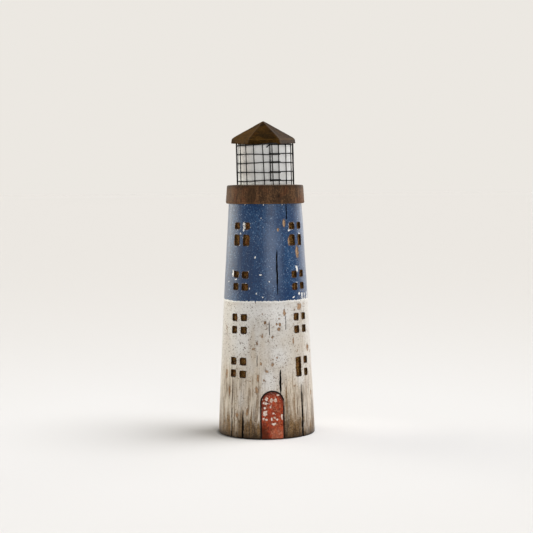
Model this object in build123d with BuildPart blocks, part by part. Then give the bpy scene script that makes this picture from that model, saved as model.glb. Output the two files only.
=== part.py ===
from build123d import *
import os
from math import cos, floor, pi, radians, sin, sqrt, tan

# A painted wooden lighthouse figurine, in millimetres.
# +Z is up, the origin is the middle of the tower's foot, and the door faces -Y.
# A bearing is an angle in degrees round the tower from the door, counted towards +X.

# Tower: one turned block of wood, tapered in two runs so that its side swells a little
tower_height = 241.7
tower_foot_radius = 51.0
tower_top_radius = 38.2
tower_swell = 0.7
tower_swell_height = 138.0
foot_edge_round = 0.8

# Windows: chiselled blind panes, two over two, in rows counted down from the tower's top
window_columns = 4
first_column_bearing = 45.0
pane_width = 7.2
pane_depth = 2.0
pane_corner_round = 0.7
mullion_width = 4.9
crossbar_height = 5.6
window_rows = [
    {"below_top": 28.9, "upper_pane": 6.9, "lower_pane": 11.4},
    {"below_top": 78.9, "upper_pane": 6.9, "lower_pane": 7.1},
    {"below_top": 123.3, "upper_pane": 7.2, "lower_pane": 7.4},
    {"below_top": 168.6, "upper_pane": 7.3, "lower_pane": 7.3},
]
# In the first column, the crossbar of one row has broken away beside the door
broken_crossbar_row = 3

# Door: a round-headed outline incised in the tower, open at the foot
door_width = 23.7
door_height = 49.7
door_line_width = 1.4
door_line_depth = 1.3

# Drying checks: cracks along the grain, pointed at their ends, or open where they reach the foot.
# The first ones stand over the door and hang from the gallery.
check_depth = 5.0
past_end = 2.0
drying_checks = [
    {"bearing": 10.4, "low": door_height - 3.2, "high": door_height + 22.3, "width": 1.3},
    {"bearing": 27.3, "low": tower_height - 15.7, "high": tower_height + past_end, "width": 0.7},
    {"bearing": 9.3, "low": 151.0, "high": 194.5, "width": 1.1},
    {"bearing": 41.3, "low": -past_end, "high": 54.0, "width": 1.5},
    {"bearing": -36.9, "low": -past_end, "high": 30.0, "width": 1.6},
    {"bearing": -53.4, "low": -past_end, "high": 60.0, "width": 1.2},
    {"bearing": 163.0, "low": -past_end, "high": 84.0, "width": 1.4},
    {"bearing": 204.0, "low": 128.0, "high": 196.0, "width": 1.1},
    {"bearing": 252.0, "low": -past_end, "high": 41.0, "width": 1.2},
]

# Gallery: a turned disc that stands out over the tower and narrows a little upwards
gallery_thickness = 19.6
gallery_overhang = 3.2
gallery_taper = 1.3
gallery_bottom_round = 1.8
gallery_top_round = 1.2

# Lantern: a plain core that carries the roof
lantern_height = 43.2
core_radius = 27.4

# Cage: a strip of welded wire mesh, wrapped round the core with its end lapped over its start.
# The hoops lie inside the uprights, and the whole cage leans a little towards -X.
wire_diameter = 1.0
weld_gap = 0.03
mesh_pitch = 9.3
cage_gap = 0.8
cage_shift = 0.6
cage_lean = 1.0
lowest_hoop = 4.0
first_wire_foot = 3.3
seam_bearing = 3.3
seam_lap = 5.1
hoop_start = 1.6
hoop_tail = 15.8
lap_rise_turn = 100.0

# Roof: six-sided, with a low fascia, set down slightly off centre by hand
roof_sides = 6
roof_overhang = 3.5
roof_fascia = 5.0
roof_rise = 18.5
roof_tip_radius = 0.7
roof_corner_round = 2.0
roof_shoulder_round = 1.6
roof_underside_round = 0.7
roof_shift = -1.55
roof_turn = -5.0

# Dowels: glued pegs that hold the pieces on one axis
lower_dowel_diameter = 14.0
lower_dowel_grip = 18.0
upper_dowel_diameter = 10.0
upper_dowel_grip = 12.0
dowel_clearance = 0.05
dowel_end_room = 0.5
dowel_chamfer = 0.8

# Levels and radii that follow from the sizes above
gallery_base = tower_height
gallery_top = gallery_base + gallery_thickness
roof_base = gallery_top + lantern_height
roof_shoulder = roof_base + roof_fascia
gallery_bottom_radius = tower_top_radius + gallery_overhang
gallery_top_radius = gallery_bottom_radius - gallery_taper
lower_bore_radius = lower_dowel_diameter / 2 + dowel_clearance
upper_bore_radius = upper_dowel_diameter / 2 + dowel_clearance
lower_socket_depth = lower_dowel_grip + dowel_end_room
upper_socket_depth = upper_dowel_grip + dowel_end_room
hoop_radius = core_radius + cage_gap + wire_diameter / 2
wire_step = wire_diameter + weld_gap
upright_radius = hoop_radius + wire_step
roof_corner_radius = upright_radius + wire_diameter / 2 + roof_overhang

os.makedirs("parts", exist_ok=True)


def save(piece, name):
    """Labels a finished piece and writes its STEP file."""
    piece.label = name
    export_step(piece, f"parts/{name}.step")


def side_points(inset, overrun):
    """Foot, swell and top point of the tower's side line, moved in by an inset and run past both ends."""
    straight_slope = (tower_foot_radius - tower_top_radius) / tower_height
    swell_radius = tower_foot_radius - straight_slope * tower_swell_height + tower_swell
    foot_slope = (tower_foot_radius - swell_radius) / tower_swell_height
    top_slope = (swell_radius - tower_top_radius) / (tower_height - tower_swell_height)
    return [
        (tower_foot_radius + foot_slope * overrun - inset, -overrun),
        (swell_radius - inset, tower_swell_height),
        (tower_top_radius - top_slope * overrun - inset, tower_height + overrun),
    ]


def tower_skin(depth):
    """Layer of the tower's side down to a depth, reaching past its surface, foot and top."""
    outer = side_points(-past_end, past_end)
    inner = side_points(depth, past_end)
    with BuildPart() as skin:
        with BuildSketch(Plane.XZ):
            with BuildLine():
                Polyline(*outer, *reversed(inner), close=True)
            make_face()
        revolve(axis=Axis.Z)
    return skin.part


# Cutters start inside the tower, clear of its axis, and end outside its foot
cutter_start = tower_top_radius / 2
cutter_length = tower_foot_radius + past_end - cutter_start


def facing(bearing):
    """Upright plane inside the tower that faces outwards at a bearing, with its Y axis up."""
    turn = radians(bearing)
    outwards = Vector(sin(turn), -cos(turn), 0)
    return Plane(origin=outwards * cutter_start, x_dir=(cos(turn), sin(turn), 0), z_dir=outwards)


def window_cutter():
    """Every pane of every window and the broken crossbar, down to the pane depth below the tower's side."""
    column_turn = 360 / window_columns
    bearings = [first_column_bearing + column_turn * column for column in range(window_columns)]
    pane_offset = (mullion_width + pane_width) / 2
    with BuildPart() as cutter:
        with BuildSketch(*[facing(bearing) for bearing in bearings]):
            for row in window_rows:
                middle = tower_height - row["below_top"]
                upper = middle + (crossbar_height + row["upper_pane"]) / 2
                lower = middle - (crossbar_height + row["lower_pane"]) / 2
                with Locations((-pane_offset, upper), (pane_offset, upper)):
                    RectangleRounded(pane_width, row["upper_pane"], pane_corner_round)
                with Locations((-pane_offset, lower), (pane_offset, lower)):
                    RectangleRounded(pane_width, row["lower_pane"], pane_corner_round)
        with BuildSketch(facing(first_column_bearing)):
            with Locations((-pane_offset, tower_height - window_rows[broken_crossbar_row]["below_top"])):
                Rectangle(pane_width, crossbar_height + 2 * pane_corner_round)
        extrude(amount=cutter_length)
        add(tower_skin(pane_depth), mode=Mode.INTERSECT)
    return cutter.part


def door_arch(half_width, height):
    """Face of a round-headed doorway that reaches below the foot."""
    spring = height - half_width
    with BuildSketch() as arch:
        with BuildLine():
            ThreePointArc((half_width, spring), (0, height), (-half_width, spring))
            Polyline(
                (-half_width, spring),
                (-half_width, -past_end),
                (half_width, -past_end),
                (half_width, spring),
            )
        make_face()
    return arch.sketch


def door_line_cutter():
    """The incised line round the door, down to its depth below the tower's side."""
    half_door = door_width / 2
    half_line = door_line_width / 2
    with BuildPart() as cutter:
        with BuildSketch(facing(0)):
            add(door_arch(half_door + half_line, door_height + half_line))
            add(door_arch(half_door - half_line, door_height - half_line), mode=Mode.SUBTRACT)
        extrude(amount=cutter_length)
        add(tower_skin(door_line_depth), mode=Mode.INTERSECT)
    return cutter.part


def check_cutter(bearing, low, high, width):
    """One drying check: a narrow pointed slot along the grain."""
    widest = low if low < 0 else (low + high) / 2
    points = [(width / 2, widest), (0, high), (-width / 2, widest)]
    if widest > low:
        points.append((0, low))
    with BuildPart() as cutter:
        with BuildSketch(facing(bearing)):
            with BuildLine():
                Polyline(*points, close=True)
            make_face()
        extrude(amount=cutter_length)
        add(tower_skin(check_depth), mode=Mode.INTERSECT)
    return cutter.part


# Tower, with its windows, door line, drying checks and the socket for the lower dowel
with BuildPart() as tower_body:
    with BuildSketch(Plane.XZ) as tower_profile:
        with BuildLine():
            Polyline((0, 0), *side_points(0, 0), (0, tower_height), close=True)
        make_face()
        foot_corners = tower_profile.vertices().group_by(Axis.Y)[0]
        fillet(foot_corners.sort_by(Axis.X)[-1], foot_edge_round)
    revolve(axis=Axis.Z)
    with BuildSketch(Plane.XY.offset(tower_height)):
        Circle(lower_bore_radius)
    extrude(amount=-lower_socket_depth, mode=Mode.SUBTRACT)
    add(window_cutter(), mode=Mode.SUBTRACT)
    add(door_line_cutter(), mode=Mode.SUBTRACT)
    for drying_check in drying_checks:
        add(check_cutter(**drying_check), mode=Mode.SUBTRACT)
save(tower_body.part, "tower_body")

# Gallery disc on top of the tower, drilled right through for the lower dowel
with BuildPart() as gallery_disc:
    with BuildSketch(Plane.XZ) as gallery_profile:
        with BuildLine():
            Polyline(
                (0, gallery_base),
                (gallery_bottom_radius, gallery_base),
                (gallery_top_radius, gallery_top),
                (0, gallery_top),
                close=True,
            )
        make_face()
        corners = gallery_profile.vertices().group_by(Axis.Y)
        fillet(corners[0].sort_by(Axis.X)[-1], gallery_bottom_round)
        fillet(corners[-1].sort_by(Axis.X)[-1], gallery_top_round)
    revolve(axis=Axis.Z)
    with BuildSketch(Plane.XY.offset(gallery_base)):
        Circle(lower_bore_radius)
    extrude(amount=gallery_thickness, mode=Mode.SUBTRACT)
save(gallery_disc.part, "gallery_disc")

# Lantern core between gallery and roof, with a socket in each end
with BuildPart() as lantern_core:
    with BuildSketch(Plane.XY.offset(gallery_top)):
        Circle(core_radius)
    extrude(amount=lantern_height)
    with BuildSketch(Plane.XY.offset(gallery_top)):
        Circle(lower_bore_radius)
    extrude(amount=lower_socket_depth, mode=Mode.SUBTRACT)
    with BuildSketch(Plane.XY.offset(roof_base)):
        Circle(upper_bore_radius)
    extrude(amount=-upper_socket_depth, mode=Mode.SUBTRACT)
save(lantern_core.part, "lantern_core")


def roof_outline(corner_radius):
    """Outline of the roof with softened corners, which shrink with the outline."""
    with BuildSketch() as outline:
        with Locations((roof_shift, 0)):
            RegularPolygon(corner_radius, roof_sides, rotation=roof_turn)
        fillet(outline.vertices(), roof_corner_round * corner_radius / roof_corner_radius)
    return outline.sketch


# Roof: fascia and slopes, with a blind socket on the lantern's axis
with BuildPart() as roof_cap:
    with BuildSketch(Plane.XY.offset(roof_base)):
        add(roof_outline(roof_corner_radius))
    extrude(amount=roof_fascia)
    with BuildSketch(Plane.XY.offset(roof_shoulder)):
        add(roof_outline(roof_corner_radius))
    with BuildSketch(Plane.XY.offset(roof_shoulder + roof_rise)):
        add(roof_outline(roof_tip_radius))
    loft(ruled=True)
    # Groups of edges from below: underside, fascia corners, shoulder, hips and tip
    fillet(roof_cap.edges().group_by(Axis.Z)[2], roof_shoulder_round)
    fillet(roof_cap.edges().group_by(Axis.Z)[0], roof_underside_round)
    with BuildSketch(Plane.XY.offset(roof_base)):
        Circle(upper_bore_radius)
    extrude(amount=upper_socket_depth, mode=Mode.SUBTRACT)
save(roof_cap.part, "roof_cap")


def make_dowel(name, diameter, low, high):
    """Chamfered peg on the tower's axis between two heights."""
    with BuildPart() as dowel:
        with BuildSketch(Plane.XY.offset(low)):
            Circle(diameter / 2)
        extrude(amount=high - low)
        chamfer(dowel.edges().filter_by(GeomType.CIRCLE), dowel_chamfer)
    save(dowel.part, name)


make_dowel(
    "lower_dowel", lower_dowel_diameter, gallery_base - lower_dowel_grip, gallery_top + lower_dowel_grip
)
make_dowel("upper_dowel", upper_dowel_diameter, roof_base - upper_dowel_grip, roof_base + upper_dowel_grip)

# The mesh strip runs on a circle, then on a wider arc that lifts its end over its start by two wires
cell_count = round(2 * pi * upright_radius / mesh_pitch)
cell_turn = (360 + seam_lap) / cell_count
rise_bearing = seam_bearing + 360 - lap_rise_turn
last_bearing = seam_bearing + cell_count * cell_turn + hoop_tail
lap_radius = hoop_radius + 2 * wire_step
rise_share = hoop_radius - lap_radius * cos(radians(lap_rise_turn))
rise_step = (lap_radius**2 - hoop_radius**2) / (2 * rise_share)
rise_radius = hoop_radius + rise_step
lean_slope = tan(radians(cage_lean))
cage_up = (-lean_slope, 0, 1)


def strip_radius(bearing):
    """Distance of the strip's hoops from the cage's axis at a bearing along the strip."""
    past = radians(bearing - rise_bearing)
    if past <= 0:
        return hoop_radius
    return sqrt(rise_radius**2 - (rise_step * sin(past)) ** 2) - rise_step * cos(past)


def cage_centre(height):
    """Where the cage's leaning axis stands at a height above the gallery."""
    return (cage_shift - height * lean_slope, 0, gallery_top + height)


# Uprights: wires up to the roof's underside, numbered along the strip, the first one cut short
for number in range(cell_count + 1):
    bearing = seam_bearing + number * cell_turn
    turn = radians(bearing)
    reach = strip_radius(bearing) + wire_step
    foot = first_wire_foot if number == 0 else 0
    slant_length = (lantern_height - foot) * sqrt(1 + lean_slope**2)
    with BuildPart() as cage_upright:
        with BuildSketch(Plane(origin=cage_centre(foot))):
            with Locations((reach * sin(turn), -reach * cos(turn))):
                Circle(wire_diameter / 2)
        extrude(amount=slant_length, dir=cage_up)
    save(cage_upright.part, f"cage_upright_{number + 1:02d}")

# Hoops: wires square to the cage's axis, as many as fit under the roof, with a tail over the start.
# A plane's own angles count from +X, a quarter turn after the bearing of the door.
hoop_room = lantern_height - lowest_hoop - wire_diameter / 2 - lap_radius * lean_slope
hoop_count = floor(hoop_room / mesh_pitch) + 1
first_angle = seam_bearing - hoop_start - 90
rise_angle = rise_bearing - 90
rise_centre = (-rise_step * cos(radians(rise_angle)), -rise_step * sin(radians(rise_angle)))
for number in range(hoop_count):
    hoop_plane = Plane(
        origin=cage_centre(lowest_hoop + number * mesh_pitch), x_dir=(1, 0, lean_slope), z_dir=cage_up
    )
    with BuildPart() as cage_hoop:
        with BuildLine(hoop_plane) as hoop_line:
            CenterArc((0, 0), hoop_radius, first_angle, rise_angle - first_angle)
            CenterArc(rise_centre, rise_radius, rise_angle, last_bearing - rise_bearing)
        with BuildSketch(Plane(origin=hoop_line.line @ 0, z_dir=hoop_line.line % 0)):
            Circle(wire_diameter / 2)
        sweep()
    save(cage_hoop.part, f"cage_hoop_{number + 1}")
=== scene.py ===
"""A painted wooden lighthouse figurine: the shape and finish of every piece, built round its fixed frame.

Lengths in settings are metres. Bearings are degrees round the tower from the door, counted towards +X.
"""

import math

import bpy
import numpy as np
from bpy.props import FloatProperty, FloatVectorProperty, PointerProperty
from mathutils import Matrix, Vector, noise


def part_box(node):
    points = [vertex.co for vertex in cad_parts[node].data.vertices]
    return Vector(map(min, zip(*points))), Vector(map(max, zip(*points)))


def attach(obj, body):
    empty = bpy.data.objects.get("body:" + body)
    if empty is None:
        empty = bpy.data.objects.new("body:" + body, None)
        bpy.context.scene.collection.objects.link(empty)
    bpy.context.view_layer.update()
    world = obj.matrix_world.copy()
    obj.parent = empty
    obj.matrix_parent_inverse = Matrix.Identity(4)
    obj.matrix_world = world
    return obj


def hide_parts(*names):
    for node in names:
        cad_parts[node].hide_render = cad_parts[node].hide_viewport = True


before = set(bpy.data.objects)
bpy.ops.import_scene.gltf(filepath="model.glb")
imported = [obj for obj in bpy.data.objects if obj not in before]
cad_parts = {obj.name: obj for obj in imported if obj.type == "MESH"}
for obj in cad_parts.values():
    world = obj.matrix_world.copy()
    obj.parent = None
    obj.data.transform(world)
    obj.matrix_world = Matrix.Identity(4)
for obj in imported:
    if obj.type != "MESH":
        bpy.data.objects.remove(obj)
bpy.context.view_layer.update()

bl_info = {
    "name": "Lighthouse Figurine",
    "version": (1, 0, 0),
    "blender": (4, 5, 0),
    "location": "View3D > Sidebar > Lighthouse",
    "description": "Builds a painted wooden lighthouse figurine with a wire mesh lantern",
    "category": "Add Mesh",
}

MM = 0.001
BODY = "root"

TOWER_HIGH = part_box("tower_body")[1]
GALLERY_LOW, GALLERY_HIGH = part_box("gallery_disc")
CORE_LOW, CORE_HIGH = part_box("lantern_core")
ROOF_LOW, ROOF_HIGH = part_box("roof_cap")
LOWER_DOWEL_LOW, LOWER_DOWEL_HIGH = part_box("lower_dowel")
UPPER_DOWEL_LOW, UPPER_DOWEL_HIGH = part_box("upper_dowel")
UPRIGHT_NODES = sorted(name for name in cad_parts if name.startswith("cage_upright_"))
HOOP_NODES = sorted(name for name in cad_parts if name.startswith("cage_hoop_"))

# Air round a dowel in its bore, and past its end
BORE_FIT = 0.05 * MM
SEAT_AIR = 0.5 * MM

# Slant of a pane's wall, round of its corners, and half widths of the tower's bands of close lines
PANE_WALL = 0.35 * MM
PANE_CORNER = 1.3 * MM
WINDOW_BAND = 12.7 * MM
DOOR_BAND = 13.6 * MM
CRACK_BAND = 1.5 * MM

# Spacing of the tower's upright lines in the door's band, in other bands and at the least
DOOR_STEP = 0.62 * MM
BAND_STEP = 0.86 * MM
LEAST_STEP = 0.12 * MM

# Spacing of its level lines, and of those at the door's arch
LEVEL_STEP = 1.2 * MM
ARCH_STEP = 0.6 * MM

# Window rows, from the top down: crossbar's middle below the tower's top, and the panes above and below it
WINDOW_ROWS = (
    {"below_top": 28.9, "upper_pane": 6.9, "lower_pane": 11.4},
    {"below_top": 78.9, "upper_pane": 6.9, "lower_pane": 7.1},
    {"below_top": 123.3, "upper_pane": 7.2, "lower_pane": 7.4},
    {"below_top": 168.6, "upper_pane": 7.3, "lower_pane": 7.3},
)
WINDOW_BEARINGS = (-135.0, -45.0, 45.0, 135.0)

# Bearing, row and side of the window whose crossbar is broken out
BROKEN_CROSSBAR = (45.0, 3, -1)

# Drying cracks: bearing, lowest and highest point and width in millimetres
CRACKS = (
    {"bearing": 10.5, "low": 46.5, "high": 72.0, "width": 2.4},
    {"bearing": 27.2, "low": 225.0, "high": 244.0, "width": 1.2},
    {"bearing": 9.2, "low": 148.0, "high": 196.0, "width": 2.0},
    {"bearing": 41.3, "low": -2.0, "high": 56.0, "width": 3.6},
    {"bearing": -36.6, "low": -2.0, "high": 31.0, "width": 2.8},
    {"bearing": -53.2, "low": -2.0, "high": 34.0, "width": 1.7},
    {"bearing": -53.2, "low": 35.0, "high": 60.0, "width": 0.7},
    {"bearing": -2.6, "low": 107.0, "high": 121.0, "width": 0.9},
    {"bearing": 19.5, "low": 112.0, "high": 127.0, "width": 0.8},
    {"bearing": -18.6, "low": 75.0, "high": 87.0, "width": 0.7},
    {"bearing": 163.0, "low": -2.0, "high": 84.0, "width": 2.0},
    {"bearing": -156.0, "low": 128.0, "high": 196.0, "width": 1.8},
    {"bearing": -108.0, "low": -2.0, "high": 41.0, "width": 1.8},
)

# Places where the paint is gone: bearing, height, width and height of each spot in millimetres
BARE_SPOTS = (
    (22, 222, 4, 8), (12, 215, 2.4, 3.5), (45.5, 191.5, 5.5, 14), (29.5, 203, 3, 9),
    (-58, 202, 4, 6), (44, 135, 7, 8), (18, 130, 3, 7), (-8, 120, 3, 4), (7, 118, 3, 3),
    (11, 118, 3, 4), (10, 113, 4, 4), (1, 105, 2.5, 4), (-12, 106, 2.5, 5), (-19, 99, 2.5, 4),
    (-23, 93, 4, 3), (60, 92, 6, 8), (30, 100, 2, 8), (-14, 78, 3, 4), (1, 77, 2.5, 4),
    (-6, 70, 4, 3), (-10, 61, 2, 3), (-19, 50, 4, 7), (-17.5, 63, 2.4, 9), (-45, 24, 4, 5),
    (-31, 28, 3, 9), (64, 44, 3, 7), (-59, 48, 4, 10), (-66, 66, 4, 10),
)

# Soft patches of the white paint: bearing, height, width, height and amount, which is soil above 0
SOIL = (
    (-50, 54, 26, 40, 0.3), (-68, 56, 18, 44, 0.55), (-66, 24, 34, 40, -0.35),
    (-27, 54, 10, 26, 0.4), (-20, 8, 11, 18, 0.6), (28, 12, 30, 26, 0.5), (24, 5, 18, 18, 0.8),
    (-18, 61, 7, 20, 0.9), (40, 60, 14, 16, -0.4), (25, 47, 18, 36, 0.45), (66, 40, 20, 60, 0.15),
    (-12, 104, 8, 26, 0.35), (-25, 99, 7, 36, 1.0), (-19, 84, 8, 22, 0.3), (-34, 132, 40, 20, -0.6),
    (-33, 102, 26, 34, -0.45), (38, 102, 34, 44, 0.45), (-5, 58, 22, 30, -0.5),
    (50, 20, 14, 34, -0.45), (-40, 41, 9, 22, -0.5), (-18, 25, 9, 20, -0.45), (-29, 11, 9, 16, 0.7),
    (50, 124, 16, 18, 0.5), (-10, 22, 8, 30, -0.3), (-24, 24, 9, 26, -0.25), (42, 9, 6, 16, -0.8),
    (11, 128, 30, 26, -0.6), (10, 86, 26, 22, -0.4), (-50, 100, 22, 40, -0.3),
    (130, 40, 50, 60, 0.3), (-120, 30, 40, 50, 0.3), (180, 70, 30, 50, -0.6),
)

# Chips of the blue paint down to the white: bearing, height, width and height in millimetres
WHITE_FLECKS = (
    (-41.3, 220.6, 2.7, 4.2), (-41.3, 218, 2.7, 4.2), (-41.3, 215.4, 2.7, 4.2),
    (-47, 211.5, 1.8, 2), (-22, 187, 1.6, 2.5), (-14, 169, 2.8, 1.5), (-2, 162, 1.2, 1.8),
    (42, 177, 5, 2.5), (43, 174, 2.5, 6), (-30, 155, 2.6, 2.4), (-60, 170, 2.4, 6),
    (-54, 164, 4, 1.6), (-70, 161, 1.5, 1.5), (-10, 241, 2.2, 1.6), (-40, 241, 1.6, 1.6),
    (20, 241, 1.6, 1.6), (-13, 227, 1.6, 1.6), (-20, 150, 1.3, 2), (-11, 146, 1.6, 1.3),
    (31, 214, 4, 2), (54, 211, 5, 2.5), (34, 145.5, 4, 1.8), (45, 148.5, 2.4, 3), (52, 147, 3, 5),
    (59, 147.5, 2.8, 4.2), (69, 148, 2.8, 4.5), (150, 200, 4, 5), (-112, 186, 3, 6),
    (118, 160, 5, 4),
)

# Chips of the door's red paint, written in the same way
DOOR_FLAKES = (
    (-6.7, 41.5, 3.4, 4.4), (-8.3, 37.4, 5.4, 3.2), (-1.6, 40.2, 3.0, 5.2), (4.2, 40.6, 3.5, 4.9),
    (6.8, 45.6, 3.4, 2.0), (-2.5, 33.5, 1.6, 2.8), (-9.2, 32.4, 2.6, 2.8), (-8.8, 27.0, 4.4, 6.0),
    (-10.6, 21.4, 2.2, 2.0), (-7.2, 20.7, 2.8, 2.6), (1.0, 27.0, 2.2, 2.6), (2.8, 22.5, 2.6, 2.6),
    (5.5, 20.4, 2.4, 2.2), (-1.1, 20.6, 2.0, 4.6), (1.4, 15.9, 4.6, 2.8), (11.2, 24.6, 2.0, 3.6),
    (11.4, 21.3, 1.8, 2.8),
)

# Dark marks on the gallery's side: bearing, height over its underside, width, height and amount
GALLERY_MARKS = (
    (-27, 10, 13, 60, 0.75),
    (-11, 16, 24, 15, 0.25),
    (13, 8, 4.8, 5.6, 1.2),
)


class TowerSettings(bpy.types.PropertyGroup):
    """Sizes and paints of the tower."""

    foot_radius: FloatProperty(
        name="Foot radius", description="Radius of the foot", default=TOWER_HIGH.x, unit="LENGTH"
    )
    top_radius: FloatProperty(
        name="Top radius", description="Radius under the gallery", default=38.2 * MM, unit="LENGTH"
    )
    swell: FloatProperty(
        name="Swell",
        description="How far the side stands out between foot and top",
        default=0.65 * MM,
        unit="LENGTH",
    )
    paint_line: FloatProperty(
        name="Paint line", description="Height where blue meets white", default=142.0 * MM, unit="LENGTH"
    )
    pane_width: FloatProperty(
        name="Pane width", description="Width of one window pane", default=7.3 * MM, unit="LENGTH"
    )
    pane_depth: FloatProperty(
        name="Pane depth", description="How deep the panes are chiselled", default=2.0 * MM, unit="LENGTH"
    )
    mullion_width: FloatProperty(
        name="Mullion width", description="Upright bar between panes", default=4.9 * MM, unit="LENGTH"
    )
    crossbar_height: FloatProperty(
        name="Crossbar height", description="Level bar between panes", default=5.6 * MM, unit="LENGTH"
    )
    door_width: FloatProperty(
        name="Door width", description="Width of the incised door", default=23.7 * MM, unit="LENGTH"
    )
    door_height: FloatProperty(
        name="Door height", description="Height of the incised door", default=49.7 * MM, unit="LENGTH"
    )
    door_line: FloatProperty(
        name="Door line", description="Width of the line round the door", default=1.5 * MM, unit="LENGTH"
    )
    blue: FloatVectorProperty(
        name="Blue",
        description="Paint of the upper half",
        default=(0.052, 0.19, 0.345),
        subtype="COLOR_GAMMA",
    )
    pale_blue: FloatVectorProperty(
        name="Rubbed blue",
        description="Blue paint where it is rubbed",
        default=(0.21, 0.35, 0.50),
        subtype="COLOR_GAMMA",
    )
    white: FloatVectorProperty(
        name="White",
        description="Paint of the lower half",
        default=(0.815, 0.80, 0.775),
        subtype="COLOR_GAMMA",
    )
    grey_white: FloatVectorProperty(
        name="Soiled white",
        description="White paint where it is soiled",
        default=(0.73, 0.70, 0.66),
        subtype="COLOR_GAMMA",
    )
    red: FloatVectorProperty(
        name="Red", description="Paint of the door", default=(0.635, 0.20, 0.07), subtype="COLOR_GAMMA"
    )
    bare_wood: FloatVectorProperty(
        name="Bare wood",
        description="Wood where the paint is gone",
        default=(0.70, 0.58, 0.46),
        subtype="COLOR_GAMMA",
    )
    wash: FloatVectorProperty(
        name="Foot wash",
        description="Brown wash that rises from the foot",
        default=(0.50, 0.375, 0.215),
        subtype="COLOR_GAMMA",
    )


class WoodSettings(bpy.types.PropertyGroup):
    """Stain of the gallery and the roof, and the sizes of their edges."""

    gallery_taper: FloatProperty(
        name="Gallery taper",
        description="How much narrower the gallery is at its top",
        default=1.3 * MM,
        unit="LENGTH",
    )
    roof_fascia: FloatProperty(
        name="Fascia", description="Height of the roof's upright edge", default=5.0 * MM, unit="LENGTH"
    )
    roof_corner: FloatProperty(
        name="Roof corner",
        description="Radius of the roof to its corners",
        default=33.8 * MM,
        unit="LENGTH",
    )
    roof_turn: FloatProperty(
        name="Roof turn",
        description="Bearing that the roof's front slope faces",
        default=math.radians(-5.0),
        subtype="ANGLE",
    )
    roof_hang: FloatProperty(
        name="Roof hang",
        description="How far the roof's front half hangs",
        default=math.radians(2.7),
        subtype="ANGLE",
    )
    stain: FloatVectorProperty(
        name="Stain",
        description="Brown stain of the gallery",
        default=(0.38, 0.27, 0.185),
        subtype="COLOR_GAMMA",
    )
    roof_stain: FloatVectorProperty(
        name="Roof stain",
        description="Brown stain of the roof",
        default=(0.215, 0.14, 0.035),
        subtype="COLOR_GAMMA",
    )
    pale_roof: FloatVectorProperty(
        name="Rubbed roof",
        description="Stain where the roof is rubbed",
        default=(0.35, 0.245, 0.095),
        subtype="COLOR_GAMMA",
    )
    pale_stain: FloatVectorProperty(
        name="Rubbed stain",
        description="Stain where the gallery is rubbed",
        default=(0.50, 0.37, 0.25),
        subtype="COLOR_GAMMA",
    )


class LanternSettings(bpy.types.PropertyGroup):
    """Sizes and finishes of the lantern's core and its cage."""

    wire: FloatProperty(name="Wire", description="Diameter of the wire", default=1.08 * MM, unit="LENGTH")
    core_white: FloatVectorProperty(
        name="Core white",
        description="Paint of the core",
        default=(0.90, 0.90, 0.893),
        subtype="COLOR_GAMMA",
    )
    wire_black: FloatVectorProperty(
        name="Wire black",
        description="Finish of the wire",
        default=(0.055, 0.054, 0.052),
        subtype="COLOR_GAMMA",
    )


class StageSettings(bpy.types.PropertyGroup):
    """Camera, floor and light."""

    distance: FloatProperty(
        name="Distance", description="From the camera to the tower's axis", default=1.470, unit="LENGTH"
    )
    eye_height: FloatProperty(
        name="Eye height", description="Height of the camera", default=0.2675, unit="LENGTH"
    )
    bearing: FloatProperty(
        name="Bearing", description="Where the camera stands", default=math.radians(-7.05), subtype="ANGLE"
    )
    tilt: FloatProperty(
        name="Tilt",
        description="How far the camera looks down",
        default=math.radians(3.597),
        subtype="ANGLE",
    )
    roll: FloatProperty(
        name="Roll",
        description="How far the picture leans to the left",
        default=math.radians(0.42),
        subtype="ANGLE",
    )
    aside: FloatProperty(
        name="Aside",
        description="How far right of the axis the camera looks",
        default=0.95 * MM,
        unit="LENGTH",
    )
    lens: FloatProperty(
        name="Lens", description="Focal length in millimetres", default=94.29, unit="CAMERA"
    )
    near_floor: FloatVectorProperty(
        name="Near floor",
        description="Floor round the figurine",
        default=(0.969, 0.961, 0.956),
        subtype="COLOR_GAMMA",
    )
    far_floor: FloatVectorProperty(
        name="Far floor",
        description="Floor far from the figurine",
        default=(0.925, 0.910, 0.893),
        subtype="COLOR_GAMMA",
    )
    backdrop: FloatVectorProperty(
        name="Backdrop",
        description="Colour behind the floor",
        default=(0.925, 0.910, 0.886),
        subtype="COLOR_GAMMA",
    )
    key_light: FloatProperty(
        name="Key", description="Strength of the light from high on the right", default=2.6
    )
    left_light: FloatProperty(
        name="Left", description="Strength of the low light from the left", default=3.2
    )
    right_light: FloatProperty(
        name="Right", description="Strength of the low light from the right", default=1.18
    )
    front_light: FloatProperty(
        name="Front", description="Strength of the light beside the camera", default=0.66
    )
    room_light: FloatProperty(
        name="Room", description="Strength of the light from all round", default=0.315
    )
    floor_share: FloatProperty(
        name="Floor share",
        description="Part of the floor's colour that the light brings",
        default=0.777,
        subtype="FACTOR",
    )


class LighthouseSettings(bpy.types.PropertyGroup):
    """All settings of the figurine."""

    tower: PointerProperty(type=TowerSettings)
    wood: PointerProperty(type=WoodSettings)
    lantern: PointerProperty(type=LanternSettings)
    stage: PointerProperty(type=StageSettings)


def linear(colour):
    """Linear RGBA of a colour that is written as it shows on screen."""
    channels = [c / 12.92 if c <= 0.04045 else ((c + 0.055) / 1.055) ** 2.4 for c in colour]
    return (*channels, 1.0)


def both_ways(operation):
    """An operator of Shade and its reflected form, which add one Math node."""

    def forward(self, other):
        return self.math(operation, self, other)

    def reflected(self, other):
        return self.math(operation, other, self)

    return forward, reflected


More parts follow.
